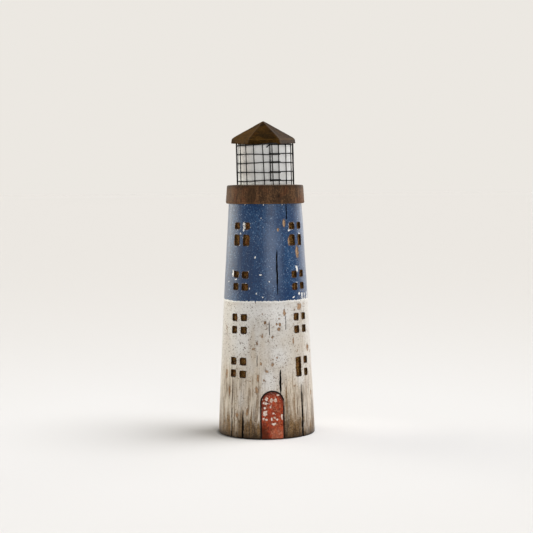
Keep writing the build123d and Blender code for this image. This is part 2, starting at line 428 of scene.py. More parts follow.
class Shade:
    """A socket of a material, which Python's operators work on. A bar between two gives the larger one."""

    __add__, __radd__ = both_ways("ADD")
    __sub__, __rsub__ = both_ways("SUBTRACT")
    __mul__, __rmul__ = both_ways("MULTIPLY")
    __truediv__, __rtruediv__ = both_ways("DIVIDE")
    __or__, __ror__ = both_ways("MAXIMUM")

    def __init__(self, recipe, socket):
        self.recipe = recipe
        self.socket = socket

    def math(self, operation, first, second=0.0):
        """Result of one Math node."""
        return self.recipe.node("ShaderNodeMath", {"operation": operation}, {0: first, 1: second})

    def __abs__(self):
        return self.math("ABSOLUTE", self)

    def root(self):
        return self.math("SQRT", self)


class Nodes:
    """The nodes of a material or of the world."""

    def __init__(self, tree):
        self.tree = tree

    def node(self, kind, settings=None, sockets=None, output=0):
        """Adds one node, sets it up, feeds its sockets and returns one of its outputs."""
        made = self.tree.nodes.new(kind)
        for name, value in (settings or {}).items():
            setattr(made, name, value)
        for name, value in (sockets or {}).items():
            self.feed(made.inputs[name], value)
        return Shade(self, made.outputs[output])

    def feed(self, socket, value):
        """Links a shade to a socket, or sets the socket to a plain value."""
        if isinstance(value, Shade):
            self.tree.links.new(value.socket, socket)
        else:
            socket.default_value = value


class Recipe(Nodes):
    """A material made of nodes, with one Principled shader. Places in it are in millimetres."""

    def __init__(self, name, **constants):
        self.material = bpy.data.materials.new(name)
        self.material.use_nodes = True
        super().__init__(self.material.node_tree)
        self.shader = self.tree.nodes["Principled BSDF"]
        for socket, value in constants.items():
            self.shader.inputs[socket.replace("_", " ")].default_value = value
        coordinates = self.node("ShaderNodeTexCoord", output="Object")
        in_millimetres = {0: coordinates, "Scale": 1 / MM}
        self.place = self.node("ShaderNodeVectorMath", {"operation": "SCALE"}, in_millimetres)

    def axis(self, name):
        """One coordinate of the place, in millimetres."""
        return self.node("ShaderNodeSeparateXYZ", None, {0: self.place}, name)

    def cloud(self, size, detail=2.0, stretch=(1, 1, 1), rough=0.5):
        """Noise from 0 to 1 that changes over a size, drawn out where stretch is under 1."""
        where = self.node("ShaderNodeVectorMath", {"operation": "MULTIPLY"}, {0: self.place, 1: stretch})
        sockets = {"Vector": where, "Scale": 1 / size, "Detail": detail, "Roughness": rough}
        return self.node("ShaderNodeTexNoise", None, sockets)

    def shards(self, size):
        """Angular patches of a size, each with its own value from 0 to 1."""
        return self.node("ShaderNodeTexVoronoi", None, {"Vector": self.place, "Scale": 1 / size}, "Color")

    def ramp(self, value, low, high):
        """Smooth step from 0 at low to 1 at high."""
        sockets = {"Value": value, "From Min": low, "From Max": high}
        return self.node("ShaderNodeMapRange", {"interpolation_type": "SMOOTHSTEP"}, sockets)

    def blend(self, share, under, over):
        """Colour that goes from under to over with the share. Plain colours are as they show on screen."""
        under, over = (colour if isinstance(colour, Shade) else linear(colour) for colour in (under, over))
        return self.node("ShaderNodeMix", {"data_type": "RGBA"}, {0: share, 6: under, 7: over}, 2)

    def coats(self, colour, *coats):
        """Colour under coats, each with its share and its colour, from the lowest one up."""
        for share, over in coats:
            colour = self.blend(share, colour, over)
        return colour

    def field(self, name):
        """A value that the mesh carries."""
        return self.node("ShaderNodeAttribute", {"attribute_name": name}, None, "Fac")

    def finish(self, colour, roughness, relief, depth, coat=0.0):
        """Feeds the shader. The relief goes from 0 to 1 and is raised by a depth in millimetres."""
        self.feed(self.shader.inputs["Base Color"], colour)
        self.feed(self.shader.inputs["Roughness"], roughness)
        self.feed(self.shader.inputs["Coat Weight"], coat)
        bump = self.node("ShaderNodeBump", None, {"Height": relief, "Distance": depth * MM}, "Normal")
        self.feed(self.shader.inputs["Normal"], bump)
        return self.material


def painted_tower(settings):
    """Blue over white paint on a turned block, chipped, cracked and soiled, with a red door."""
    recipe = Recipe(
        "painted_tower",
        Specular_IOR_Level=0.02,
        Coat_Roughness=0.36,
        Coat_IOR=1.42,
        Sheen_Weight=0.25,
        Sheen_Roughness=0.3,
    )
    blend, cloud, coats, field, ramp = recipe.blend, recipe.cloud, recipe.coats, recipe.field, recipe.ramp
    across, deep, height = recipe.axis("X"), recipe.axis("Y"), recipe.axis("Z")
    front = ramp(deep, 1.0, -1.0)
    streak = cloud(2.0, 4.0, (1, 1, 0.05), 0.6)
    broad_streak = cloud(7.0, 3.0, (1, 1, 0.09))
    blotch = cloud(22.0, 3.0, (1, 1, 0.6))
    mottle = cloud(4.5, 3.0)
    grit = cloud(1.1, 2.0, (1, 1, 0.7))
    shards = recipe.shards(2.0)
    grains = recipe.shards(1.0)
    ragged = (grit - 0.5) * 1.3 + (shards - 0.5) * 1.2 + (grains - 0.5) * 0.5
    fresh_white = (0.93, 0.925, 0.91)

    # White paint: even above, with specks of soil, and grain that shows more and more towards the foot
    soil = field("soil")
    lowness = ramp(height + (blotch - 0.5) * 100.0 - soil * 50.0, 110.0, 20.0)
    grain = ramp(streak + (broad_streak - 0.5) * 0.9, 0.50, 0.72) * (0.06 + 0.94 * lowness)
    soiled = ramp(blotch * 0.6 + mottle * 0.4, 0.40, 0.60)
    specks = ramp(grains + (grit - 0.5) * 0.5, 0.78, 0.84) * (0.3 + 0.7 * soiled)
    rise = height + (broad_streak - 0.5) * 100.0 + (streak - 0.5) * 90.0
    rise = rise + (mottle - 0.5) * 20.0 - soil * 28.0
    wash = ramp(rise, 36.0, 4.0) | ramp(rise, 84.0, 30.0) * ramp(streak, 0.46, 0.60) * 0.75
    wash_grain = ramp(streak + (grit - 0.5) * 0.4, 0.40, 0.62)
    fray = grit * 0.6 + streak * 0.4 + (grains - 0.5) * 0.4
    pale_bits = ramp(fray, 0.56, 0.70) * lowness * (1.0 - wash * 0.7)
    # Painted shade: the white darkens to brown towards the foot's edge, where it meets the floor
    foot_edge = ramp(height + (mottle - 0.5) * 10.0, 10.0, 0.5)
    white = coats(
        settings.white,
        (ramp(mottle, 0.35, 0.7) * 0.55, settings.grey_white),
        (ramp(blotch, 0.5, 0.7) * 0.35, (0.70, 0.63, 0.56)),
        (ramp(soil, -0.05, -0.6) * 0.7, (0.875, 0.87, 0.86)),
        (ramp(soil, 0.05, 0.6) * 0.5, (0.72, 0.69, 0.645)),
        (lowness * 0.62, (0.82, 0.755, 0.66)),
        (grain * 0.85, (0.48, 0.37, 0.235)),
        (ramp(grains, 0.45, 0.9) * 0.18, (0.55, 0.47, 0.39)),
        (specks * 0.85, (0.34, 0.255, 0.17)),
        (wash * 0.92, blend(wash_grain, settings.wash, (0.23, 0.145, 0.055))),
        (pale_bits * 0.6, (0.84, 0.77, 0.675)),
        (ramp(fray, 0.50, 0.32) * wash * 0.65, (0.16, 0.10, 0.035)),
        (foot_edge * 0.75, (0.14, 0.09, 0.045)),
    )

    # Blue paint down to an uneven line, rubbed and flecked with the white under it, with a painted highlight
    # band down its front
    edge = height - settings.paint_line / MM + (mottle - 0.5) * 2.4 + (blotch - 0.5) * 1.6
    edge = edge + (grit - 0.5) * 2.2 + (grains - 0.5) * 0.8
    flaked = ramp(across, 22.0, 34.0) * ramp(streak * 0.5 + grit * 0.5 + (shards - 0.5) * 0.4, 0.5, 0.7)
    edge = edge - flaked * 5.5
    blue_side = ramp(edge, -0.12, 0.12)
    rubbed = ramp(blotch * 0.45 + mottle * 0.25 + grit * 0.4 + (grains - 0.5) * 0.3, 0.48, 0.74)
    worn_grain = ramp(broad_streak + (streak - 0.5) * 0.5, 0.5, 0.75)
    # Painted highlight: a pale upright band of sheen down the front of the blue
    painted_sheen_band = ramp(height, 150.0, 168.0) * ramp(height, 226.0, 206.0) * front
    painted_sheen_band = painted_sheen_band * ramp(abs(across - 3.0) + (mottle - 0.5) * 10.0, 13.0, 4.0) * (0.5 + 0.5 * grit)
    pale_grains = ramp(grains + (grit - 0.5) * 0.5, 0.82, 0.90) * (0.3 + 0.7 * soiled)
    flecks = ramp(field("fleck") + ragged * 0.8, 0.14, 0.26)
    rim = field("rim")
    rim_chips = ramp(rim * 0.5 + ragged * 0.4, 0.46, 0.54) * ramp(mottle, 0.44, 0.54)
    blue = coats(
        settings.blue,
        (rubbed * 0.8, settings.pale_blue),
        (worn_grain * 0.4, (0.11, 0.18, 0.30)),
        (ramp(grains, 0.35, 0.1) * 0.5, (0.09, 0.15, 0.26)),
        (painted_sheen_band * 0.45, (0.385, 0.46, 0.575)),
        (pale_grains * 0.32, (0.66, 0.71, 0.78)),
        (flecks | rim_chips, fresh_white),
    )
    ridge = ramp(edge, -2.4, -0.4) * ramp(mottle, 0.25, 0.5)

    # Red door inside its incised line, flaked to the white under it, stained low on one side and with
    # painted shade under its arch
    half_door = settings.door_width / MM / 2
    spring = settings.door_height / MM - half_door
    above = (height - spring) | 0.0
    outside = (across * across + above * above).root() - half_door
    door_side = ramp(outside, 0.15, -0.15) * front
    smears = ramp(shards + (mottle - 0.5) * 0.8, 0.62, 0.85)
    rubbed_low = ramp(across, -4.0, 1.0) * ramp(height + (mottle - 0.5) * 12.0, 17.0, 6.0)
    # Painted shade: the red darkens under the arch
    painted_arch_shade = ramp(outside + (grit - 0.5) * 4.0, -4.5, -0.5) * ramp(height, 30.0, 42.0)
    stain = ramp(across + height * 0.4 + (grit - 0.5) * 3.0, 2.0, -5.0) * ramp(height, 20.0, 9.0)
    small_flakes = ramp(grains + (grit - 0.5) * 0.5, 0.84, 0.90) * ramp(height, 14.0, 30.0) * 0.8
    flakes = ramp(field("fleck") + ragged * 0.55, 0.02, 0.14) | small_flakes
    red = coats(
        settings.red,
        (ramp(mottle, 0.35, 0.65), (0.39, 0.105, 0.035)),
        (ramp(grit + (blotch - 0.5) * 0.6, 0.48, 0.72) * 0.6, (0.73, 0.34, 0.155)),
        (ramp(grains, 0.55, 0.9) * 0.45, (0.72, 0.38, 0.20)),
        (ramp(grains, 0.35, 0.1) * 0.5, (0.34, 0.085, 0.02)),
        (smears * 0.35, (0.76, 0.46, 0.34)),
        (ramp(grit, 0.42, 0.30) * 0.55, (0.31, 0.11, 0.035)),
        (rubbed_low * (0.35 + 0.4 * smears), (0.74, 0.47, 0.36)),
        (stain * 0.85, (0.29, 0.105, 0.015)),
        (painted_arch_shade * 0.75, (0.22, 0.07, 0.04)),
        (flakes * 0.92, blend(ramp(grit, 0.4, 0.6), (0.95, 0.92, 0.88), (0.78, 0.66, 0.58))),
    )

    # Chips down to the wood, from listed spots and from scattered small ones, with dark edges
    hidden = 0.06 * blue_side
    chip_depth = field("bare") * 0.6 + ragged * 0.3 | (mottle + ragged * 0.10 - 0.70 - hidden) * 3.0
    chip_rims = ramp(chip_depth, -0.06, 0.04) * (1.0 - door_side)
    chips = ramp(chip_depth, 0.06, 0.18) * (1.0 - door_side)
    wood_grain = ramp(streak + (grit - 0.5) * 0.6, 0.40, 0.68)
    wood = blend(wood_grain, settings.bare_wood, (0.47, 0.35, 0.24))

    # Chiselled panes with painted shade at their dark ragged edges, the door's line with a gap on its right,
    # and the cracks
    carved = ramp(rim + (grit - 0.5) * 0.42 + (grains - 0.5) * 0.2, 0.78, 0.90)
    pane_grain = ramp(mottle * 0.3 + grit * 0.4 + grains * 0.35, 0.42, 0.66)
    pale_wood = blend(ramp(shards, 0.55, 0.75), (0.50, 0.38, 0.205), (0.51, 0.32, 0.19))
    # Painted shade: the panes darken from their middles towards their edges
    painted_pane_light = ramp(field("pane_middle") + (grit - 0.5) * 1.2, -0.2, 0.6)
    pane = blend(painted_pane_light, (0.19, 0.12, 0.05), blend(pane_grain, (0.22, 0.145, 0.06), pale_wood))
    half_line = settings.door_line / MM / 2
    groove = ramp(abs(outside) + (grit - 0.5) * 0.8, half_line + 0.15, half_line - 0.25) * front
    gap = ramp(abs(height - 37.0) + (grit - 0.5) * 2.0, 3.0, 1.8) * ramp(across, 8.0, 9.5)
    groove = groove * (1.0 - gap * 0.85)
    crack = ramp(field("crack") + (grit - 0.5) * 0.3, 0.02, 0.2)
    # Painted shadow: a dark line along the foot's lowest edge, where it meets the floor
    painted_foot_shadow = ramp(height + (grit - 0.5), 1.9, 0.5)
    colour = coats(
        white,
        (ridge * 0.9, fresh_white),
        (blue_side, blue),
        (door_side, red),
        (chip_rims * 0.7, (0.44, 0.34, 0.25)),
        (chips * 0.95, wood),
        (carved, pane),
        (flecks * blue_side, fresh_white),
        (groove | crack, (0.085, 0.07, 0.06)),
        (painted_foot_shadow * 0.9, (0.06, 0.05, 0.045)),
    )

    # Relief, and a glossy coat that is gone where the paint is worn or dull
    sunk = chips * 0.6 | flecks * blue_side * 0.35 | flakes * door_side * 0.4
    relief = streak * 0.25 + grit * 0.15 + mottle * 0.2 + grains * 0.07 - sunk
    dull_left = ramp(height, 208.0, 240.0) * ramp(across, 4.0, -12.0) * ramp(across, -44.0, -16.0)
    dull_right = ramp(across, 10.0, 19.0) * ramp(across, 33.0, 25.0) * ramp(height, 228.0, 196.0)
    dull = dull_left * 0.5 | dull_right * blue_side * 0.45
    matt = chips | carved | crack | wash * (1.0 - blue_side) * 0.8 | door_side * 0.6 | dull
    return recipe.finish(colour, 0.6 + 0.2 * mottle, relief, 0.45, 1.0 - matt)


def stained_wood(name, stain, pale_stain, stretch, grain, worn_share, gloss):
    """Brown stained wood with drawn out grain, rubbed pale on its edges, with some white spilled on it, and
    painted light, sheen and shade where the mesh carries them.
    """
    recipe = Recipe(name, Specular_IOR_Level=gloss)
    cloud, field, ramp = recipe.cloud, recipe.field, recipe.ramp
    streak = cloud(2.0, 5.0, stretch, 0.65)
    broad = cloud(7.0, 3.0, stretch)
    blotch = cloud(13.0, 3.0)
    mottle = cloud(2.6, 3.0)
    pores = cloud(0.9, 2.0, stretch)
    fibres = cloud(1.1, 4.0, stretch, 0.7)
    crumbs = cloud(1.6, 2.0)
    grains = recipe.shards(1.1)
    dark_stain = tuple(channel * 0.62 for channel in stain)
    reddish_stain = (stain[0] * 1.04, stain[1] * 0.80, stain[2] * 0.72)
    mixed = streak * 0.8 + mottle * 0.2 + (broad - 0.5) + (blotch - 0.5) * 0.4 + (grains - 0.5) * 0.1
    pale = ramp(broad * 0.8 + mottle * 0.2 + (grains - 0.5) * 0.2, 0.48, 0.74)
    worn = ramp(field("worn") + (pores - 0.5) * 0.8 + (blotch - 0.5) * 0.8, 0.5, 0.9)
    dark_pores = ramp(pores + (streak - 0.5) * 0.3, 0.58, 0.72)
    spilled = ramp(field("spilled") + (mottle - 0.5) * 0.8 + (blotch - 0.5) * 0.6, 0.38, 0.62)
    colour = recipe.coats(
        dark_stain,
        (ramp(mixed, 0.34, 0.66), stain),
        (pale * 0.4, pale_stain),
        (ramp(blotch, 0.5, 0.66) * 0.35, reddish_stain),
        (ramp(fibres, 0.50, 0.68) * (0.45 * grain), pale_stain),
        (ramp(fibres, 0.48, 0.32) * (0.55 * grain), dark_stain),
        (ramp(crumbs, 0.52, 0.66) * (0.5 * grain), pale_stain),
        (ramp(crumbs, 0.48, 0.34) * (0.6 * grain), dark_stain),
        # Paler where rubbed, and with painted light where the mesh carries it
        (worn * worn_share, pale_stain),
        # Painted sheen: greyer where the mesh carries it
        (field("faded") * (0.3 + 0.7 * mottle), (0.385, 0.365, 0.35)),
        # Painted shade, and dark marks in the wood, where the mesh carries them
        (field("shade") * (0.6 + 0.4 * mottle), (0.13, 0.095, 0.06)),
        (dark_pores * 0.6, (0.10, 0.06, 0.03)),
        (spilled * 0.88, (0.80, 0.785, 0.75)),
    )
    relief = streak * 0.5 + pores * 0.3 - dark_pores * 0.3
    return recipe.finish(colour, 0.46 + 0.2 * blotch, relief, 0.25)


def painted_core(settings):
    """White paint over turned wood, with brush marks and a warmer, darker left side, painted light low on
    its left part, and painted shade at its top under the eave.
    """
    recipe = Recipe("painted_core")
    cloud, ramp = recipe.cloud, recipe.ramp
    across, height = recipe.axis("X"), recipe.axis("Z")
    left, low, high = -CORE_HIGH.x / MM, CORE_LOW.z / MM, CORE_HIGH.z / MM
    brush = cloud(1.6, 3.0, (1, 1, 0.04))
    blotch = cloud(12.0, 3.0)
    grains = recipe.shards(1.2)
    soil = ramp(brush + (blotch - 0.5) * 0.5 + (grains - 0.5) * 0.2, 0.45, 0.75)
    # Warmer and darker towards the left side
    warm_left_side = ramp(across + (blotch - 0.5) * 10.0, -11.0, -23.0) * ramp(across, left + 0.5, left + 2.0)
    # Painted light: whiter low down on the core's left part
    foot = ramp(height, low + 12.0, low + 2.0) * ramp(across, 15.0, 3.0)
    # Painted shade: dark brown along the top, under the eave
    top = ramp(height + (grains - 0.5) * 0.5, high - 2.3, high - 1.7)
    colour = recipe.coats(
        settings.core_white,
        (soil * 0.3, (0.78, 0.77, 0.75)),
        (warm_left_side * 0.6, (0.76, 0.725, 0.70)),
        (foot, (0.97, 0.97, 0.96)),
        (top * 0.9, (0.24, 0.15, 0.09)),
    )
    return recipe.finish(colour, 0.5 + 0.15 * blotch, brush, 0.15)


def black_wire(settings):
    """Black wire with a few brown patches where the finish is thin."""
    recipe = Recipe("black_wire", Specular_IOR_Level=0.18)
    grit = recipe.cloud(0.6, 2.0)
    thin = recipe.ramp(recipe.cloud(6.0, 3.0), 0.55, 0.75)
    colour = recipe.blend(thin * 0.6, settings.wire_black, (0.17, 0.12, 0.085))
    return recipe.finish(colour, 0.45 + 0.25 * grit, grit, 0.06)


def raw_dowel():
    """Raw wood of the pegs inside."""
    recipe = Recipe("raw_dowel")
    streak = recipe.cloud(1.2, 4.0, (1, 1, 0.06))
    flecks = recipe.cloud(0.7, 2.0, (1, 1, 0.3))
    colour = recipe.coats(
        (0.80, 0.66, 0.48),
        (recipe.ramp(streak, 0.35, 0.7), (0.63, 0.47, 0.31)),
        (recipe.ramp(flecks, 0.62, 0.74) * 0.5, (0.45, 0.31, 0.20)),
    )
    return recipe.finish(colour, 0.6 + 0.2 * flecks, streak, 0.1)


def wander(points, size, shift):
    """Smooth noise from -1 to 1 at each point, which changes over a size in metres."""
    scaled = (points / size + shift).reshape(-1, 3).tolist()
    return np.array([noise.noise(point) for point in scaled]).reshape(points.shape[:-1])


def waver(points, *waves):
    """Sum of waves of smooth noise, in metres. Each has a height and a size in millimetres, and a shift."""
    return sum(height * MM * wander(points, size * MM, shift) for height, size, shift in waves)


def fill(anchors, step):
    """Sorted anchors with even values between them, no further apart than a step."""
    values = []
    for low, high in zip(anchors, anchors[1:]):
        count = max(1, math.ceil((high - low) / step - 1e-6))
        values.extend(low + (high - low) * part / count for part in range(count))
    return np.array(values + [anchors[-1]])


def smooth(values, low, high):
    """Smooth step of an array from 0 at low to 1 at high."""
    share = np.clip((values - low) / (high - low), 0, 1)
    return share * share * (3 - 2 * share)


def fade(distance, reach):
    """1 at no distance, and down to 0 at a reach."""
    return np.clip(1 - distance / reach, 0, 1)


def rounded_depth(from_side, from_end, corner):
    """How far points lie inside a rectangle with rounded corners, from their distances to its edges."""
    in_corner = corner - np.hypot(np.maximum(corner - from_side, 0), np.maximum(corner - from_end, 0))
    return np.where((from_side < corner) & (from_end < corner), in_corner, np.minimum(from_side, from_end))


def place(bearings, radii, heights):
    """Points at bearings in radians, distances from the axis and heights."""
    coordinates = (radii * np.sin(bearings), -radii * np.cos(bearings), heights)
    return np.stack(np.broadcast_arrays(*coordinates), axis=-1)


def add_object(name, data):
    """A new object in the scene."""
    made = bpy.data.objects.new(name, data)
    bpy.context.scene.collection.objects.link(made)
    return made


def skin(name, rings, low_pole=None, high_pole=None, loop=False, sharp=45):
    """Mesh of quads between rings of points, closed by poles at its ends or onto itself."""
    rows, count = rings.shape[:2]
    points = rings.reshape(-1, 3).tolist()
    index = np.arange(rows * count).reshape(rows, count)
    lower = index if loop else index[:-1]
    upper = np.roll(index, -1, axis=0) if loop else index[1:]
    corners = (lower, np.roll(lower, -1, axis=1), np.roll(upper, -1, axis=1), upper)
    faces = np.stack(corners, axis=-1).reshape(-1, 4).tolist()
    for pole, ring in ((low_pole, index[0, ::-1]), (high_pole, index[-1])):
        if pole is not None:
            pairs = zip(ring.tolist(), np.roll(ring, -1).tolist())
            faces += [(len(points), this, after) for this, after in pairs]
            points.append(tuple(pole))
    mesh = bpy.data.meshes.new(name)
    mesh.from_pydata(points, [], faces)
    mesh.shade_smooth()
    mesh.set_sharp_from_angle(angle=math.radians(sharp))
    return add_object(name, mesh)


def carry(piece, name, values, start=0):
    """Gives the piece's mesh a value at each point from a start on. All other points get 0."""
    padded = np.zeros(len(piece.data.vertices), np.float32)
    padded[start : start + values.size] = values.ravel()
    piece.data.attributes.new(name, "FLOAT", "POINT").data.foreach_set("value", padded)


def settle(piece, material, slot, *nodes):
    """Finishes a piece that stands for CAD nodes."""
    piece.data.materials.append(material)
    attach(piece, BODY)
    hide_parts(*nodes)


def tower_radius(settings, heights):
    """Radius of the tower's smooth side at heights, in metres."""
    share = heights / TOWER_HIGH.z
    straight = settings.foot_radius + (settings.top_radius - settings.foot_radius) * share
    return straight + settings.swell * 4 * share * (1 - share)


def pane_boxes(settings, bearing):
    """Low and high corner of each pane of one column of windows, from the column's middle, in metres."""
    inner = settings.mullion_width / 2
    outer = inner + settings.pane_width
    boxes = []
    for number, row in enumerate(WINDOW_ROWS):
        middle = TOWER_HIGH.z - row["below_top"] * MM
        top = middle + settings.crossbar_height / 2
        bottom = middle - settings.crossbar_height / 2
        for side in (-1, 1):
            low_x, high_x = sorted((side * inner, side * outer))
            upper = (low_x, top, high_x, top + row["upper_pane"] * MM)
            lower = (low_x, bottom - row["lower_pane"] * MM, high_x, bottom)
            if (bearing, number, side) == BROKEN_CROSSBAR:
                boxes.append((low_x, lower[1], high_x, upper[3]))
            else:
                boxes.extend((upper, lower))
    return boxes


def tower_bands(settings):
    """Bands of close upright lines round the tower, and the band and offset of each crack.

    A band has a bearing, and the offsets of its lines from it in metres.
    """
    inner = settings.mullion_width / 2
    outer = inner + settings.pane_width
    pane_lines = {inner, inner + PANE_WALL, outer - PANE_WALL, outer, WINDOW_BAND}
    window_lines = {side * x for x in pane_lines for side in (-1, 1)} | {0.0}
    bands = {bearing: set(window_lines) for bearing in WINDOW_BEARINGS}
    half_door = settings.door_width / 2
    half_line = settings.door_line / 2
    door_lines = {half_door - half_line, half_door, half_door + half_line, DOOR_BAND}
    bands[0.0] = {side * x for x in door_lines for side in (-1, 1)}
    reach = {bearing: WINDOW_BAND for bearing in WINDOW_BEARINGS} | {0.0: DOOR_BAND}
    cracks = []
    for crack in CRACKS:
        middle = np.clip((crack["low"] + crack["high"]) / 2 * MM, 0, TOWER_HIGH.z)
        radius = tower_radius(settings, middle)
        home = min(reach, key=lambda bearing: abs(crack["bearing"] - bearing))
        offset = math.radians(crack["bearing"] - home) * radius
        if abs(offset) > reach[home] - CRACK_BAND / 4:
            home, offset = crack["bearing"], 0.0
            bands[home] = {-CRACK_BAND, CRACK_BAND}
        half = crack["width"] * MM / 2
        bands[home] |= {offset - half, offset, offset + half}
        cracks.append((home, offset, crack))
    lines = []
    for bearing in sorted(bands):
        anchors = sorted(bands[bearing])
        kept = [anchors[0]] + [b for a, b in zip(anchors, anchors[1:]) if b - a > LEAST_STEP]
        lines.append((bearing, fill(kept, DOOR_STEP if bearing == 0.0 else BAND_STEP)))
    return lines, cracks


def tower_heights(settings):
    """Heights of the level lines round the tower, close together at panes and at the door's arch."""
    anchors = {0.8 * MM, settings.paint_line, TOWER_HIGH.z}
    for box in pane_boxes(settings, 0.0):
        anchors |= {box[1], box[1] + PANE_WALL, box[3] - PANE_WALL, box[3]}
    spring = settings.door_height - settings.door_width / 2
    arch = fill([spring - 1.0 * MM, settings.door_height + 1.4 * MM], ARCH_STEP)
    return fill(sorted(anchors | set(arch.tolist())), LEVEL_STEP)


def spot_field(bearings, radii, heights, spots):
    """How deep each point is inside the nearest spot: 1 in its middle, 0 at its edge, -1 far outside."""
    field = np.full(bearings.shape, -1.0)
    for bearing, height, width, tall in spots:
        turn = (bearings - math.radians(bearing) + math.pi) % (2 * math.pi) - math.pi
        across = turn * radii / (width * MM / 2)
        along = (heights - height * MM) / (tall * MM / 2)
        field = np.maximum(field, 1 - np.hypot(across, along))
    return field


def socket_rings(bearings, bore, mouth, seat):
    """Rings of a dowel's socket at the heights of its mouth and its seat."""
    return [place(bearings, np.full(bearings.shape, bore), height) for height in (mouth, seat)]


class LIGHTHOUSE_OT_tower(bpy.types.Operator):
    """Build the tower with its chiselled windows, incised door and drying cracks"""

    bl_idname = "lighthouse.tower"
    bl_label = "Tower"

    front_spacing = 0.95 * MM
    back_spacing = 2.0 * MM
    rim_reach = 2.0 * MM
    lit_reach = 2.2 * MM
    crack_depth = 3.2 * MM
    groove_depth = 1.2 * MM
    chip_depth = 0.3 * MM
    fleck_depth = 0.16 * MM
    foot_edge = ((0.9 * MM, 0.0), (0.25 * MM, 0.22 * MM))

    def execute(self, context):
        settings = context.scene.lighthouse.tower
        bands, cracks = tower_bands(settings)
        heights = tower_heights(settings)[:, None]
        radii = tower_radius(settings, heights)
        bearings, homes, offsets = self.upright_lines(settings, bands, radii)
        carved, middle, rim = self.pane_marks(settings, heights, homes, offsets)
        split = self.crack_marks(cracks, heights, homes, offsets)

        # The hand of the carver: every line wanders a little along the surface
        even = place(bearings, radii, heights)
        ends = np.clip(np.minimum(heights, TOWER_HIGH.z - heights) / (5 * MM), 0, 1)
        bearings = bearings + ends * waver(even, (0.42, 5, 3.1), (0.35, 17, 8.7)) / radii
        levels = heights + ends * waver(even, (0.42, 5, 21.3), (0.35, 17, 14.9))
        surface = tower_radius(settings, levels)
        even = place(bearings, surface, levels)

        # Wear of the paint, and how deep the side is cut
        bare = spot_field(bearings, surface, levels, BARE_SPOTS)
        fleck = spot_field(bearings, surface, levels, WHITE_FLECKS + DOOR_FLAKES)
        soil = np.zeros(bearings.shape)
        for *patch, amount in SOIL:
            soil += amount * smooth(spot_field(bearings, surface, levels, [patch]), -0.6, 0.7)
        above = np.maximum(levels - (settings.door_height - settings.door_width / 2), 0)
        from_line = np.abs(np.hypot(even[..., 0], above) - settings.door_width / 2) / settings.door_line
        groove = smooth(-from_line, -0.62, -0.2) * (even[..., 1] < 0)
        carved = carved * (1 - 0.8 * smooth(fleck, 0.1, 0.4))
        depth = carved * (settings.pane_depth + waver(even, (0.35, 3, 11.0))) + split * self.crack_depth
        depth = np.maximum(depth, groove * self.groove_depth)
        depth += self.chip_depth * smooth(bare, 0.1, 0.5) + self.fleck_depth * smooth(fleck, 0.1, 0.5)
        grain = waver(even * (1, 1, 0.06), (0.05, 1.8, 5.5))
        swelling = waver(even, (0.16, 34, 1.3), (0.05, 3, 7.7)) + grain
        rings = place(bearings, surface + swelling - depth, levels)

        # Foot and top, with the socket of the peg
        foot = []
        for inset, height in self.foot_edge:
            share = 1 - inset / settings.foot_radius
            foot.append(rings[0] * (share, share, 0) + (0, 0, height))
        seat = LOWER_DOWEL_LOW.z - SEAT_AIR
        socket = socket_rings(bearings[-1], LOWER_DOWEL_HIGH.x + BORE_FIT, TOWER_HIGH.z, seat)
        piece = skin("tower", np.concatenate([foot, rings, socket]), (0, 0, 0), (0, 0, seat), sharp=38)
        marks = {
            "pane_middle": middle,
            "rim": rim,
            "crack": split,
            "bare": bare,
            "fleck": fleck,
            "soil": soil,
        }
        for name, values in marks.items():
            carry(piece, name, values, len(foot) * bearings.shape[1])
        settle(piece, painted_tower(settings), "painted_tower", "tower_body")
        return {"FINISHED"}

    def upright_lines(self, settings, bands, radii):
        """Bearings of all upright lines, and the band and offset of each line that is in one.

        Each band keeps its width, and the gaps between bands close up towards the top.
        """
        columns, homes, offsets = [], [], []
        for number, (bearing, lines) in enumerate(bands):
            here = math.radians(bearing) + lines[None, :] / radii
            after_bearing, after_lines = bands[(number + 1) % len(bands)]
            lap = 2 * math.pi if number == len(bands) - 1 else 0.0
            there = math.radians(after_bearing) + lap + after_lines[0] / radii
            start = here[:, -1:]
            in_front = bearing < 70 and after_bearing > -100 and not lap
            spacing = self.front_spacing if in_front else self.back_spacing
            count = max(1, math.ceil((there - start)[0, 0] * settings.foot_radius / spacing))
            columns += [here, start + (there - start) * np.arange(1, count)[None, :] / count]
            homes += [bearing] * len(lines) + [math.nan] * (count - 1)
            offsets += lines.tolist() + [math.nan] * (count - 1)
        return np.concatenate(columns, axis=1), np.array(homes), np.array(offsets)[None, :]

    def pane_marks(self, settings, heights, homes, offsets):
        """Where the panes are cut, where their middles are, and how near each point is to a pane's rim."""
        marks = np.zeros((3, len(heights), len(homes)))
        for bearing in WINDOW_BEARINGS:
            lines = np.flatnonzero(homes == bearing)
            x = offsets[:, lines]
            for low_x, low_z, high_x, high_z in pane_boxes(settings, bearing):
                from_side = np.minimum(x - low_x, high_x - x)
                from_end = np.minimum(heights - low_z, high_z - heights)
                inside = rounded_depth(from_side, from_end, PANE_CORNER)
                carved = np.clip(inside / PANE_WALL, 0, 1)
                middle = smooth(inside, PANE_WALL, self.lit_reach)
                rim = fade(-inside, self.rim_reach)
                marks[..., lines] = np.maximum(marks[..., lines], (carved, middle, rim))
        return marks

